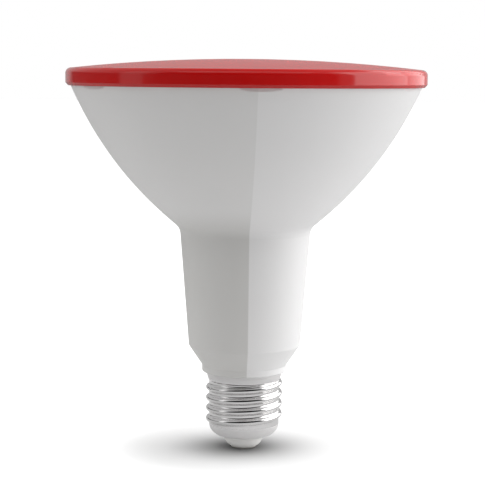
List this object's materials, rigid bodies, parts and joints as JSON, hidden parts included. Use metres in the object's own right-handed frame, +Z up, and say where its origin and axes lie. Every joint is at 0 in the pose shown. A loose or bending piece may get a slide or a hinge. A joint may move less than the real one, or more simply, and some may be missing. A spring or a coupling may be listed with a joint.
{
  "type": "led par bulb",
  "caption": "Reflector-shaped LED lamp: red translucent domed lens on a white flared housing with a straight neck and a threaded screw cap, with LED board and driver inside.",
  "frame": {"origin": "centre of the flat end of the cap's centre contact", "axes": "+Z up the lamp's axis from the contact to the lens; -Y is the side of the middle snap pocket, which faces the camera in the picture"},
  "size_m": [0.122, 0.122, 0.1337],
  "materials": {
    "lens_red": "translucent, smooth",
    "housing_white": "satin moulded",
    "shell_plated": "bright plated thread, satin end",
    "insulator_white": "smooth",
    "contact_metal": "tinned",
    "pan_aluminium": "drawn",
    "pad_grey": "matt",
    "led_board_white": "white coated",
    "led_resin": "clear resin",
    "screw_steel": "plated",
    "terminal_white": "moulded",
    "wire_red": "extruded",
    "wire_black": "extruded",
    "wire_brown": "extruded",
    "wire_blue": "extruded",
    "board_green": "coated laminate",
    "ferrite_grey": "ground",
    "bobbin_black": "moulded",
    "winding_tape": "taped",
    "can_black": "sleeved can",
    "can_green": "sleeved can",
    "film_box_yellow": "moulded box",
    "choke_black": "shrink sleeve",
    "resistor_green": "dipped",
    "varistor_blue": "dipped",
    "package_black": "moulded",
    "chip_dark": "printed"
  },
  "bodies": {
    "root": {"front_lens": "lens_red", "housing": "housing_white", "screw_shell": "shell_plated", "cap_insulator": "insulator_white", "centre_contact": "contact_metal", "heat_spreader": "pan_aluminium", "thermal_pad": "pad_grey", "led_board": "led_board_white", "led_chips": "led_resin", "board_screws": "screw_steel", "lead_connector": "terminal_white", "led_lead_positive": "wire_red", "led_lead_negative": "wire_black", "live_lead": "wire_brown", "neutral_lead": "wire_blue", "driver_board": "board_green", "transformer_core": "ferrite_grey", "transformer_bobbin": "bobbin_black", "transformer_winding": "winding_tape", "bulk_capacitor": "can_black", "output_capacitor": "can_green", "film_capacitor": "film_box_yellow", "input_choke": "choke_black", "fuse_resistor": "resistor_green", "varistor": "varistor_blue", "bridge_rectifier": "package_black", "controller_chip": "package_black", "power_diode": "package_black", "chip_resistors": "chip_dark"}
  },
  "joints": []
}
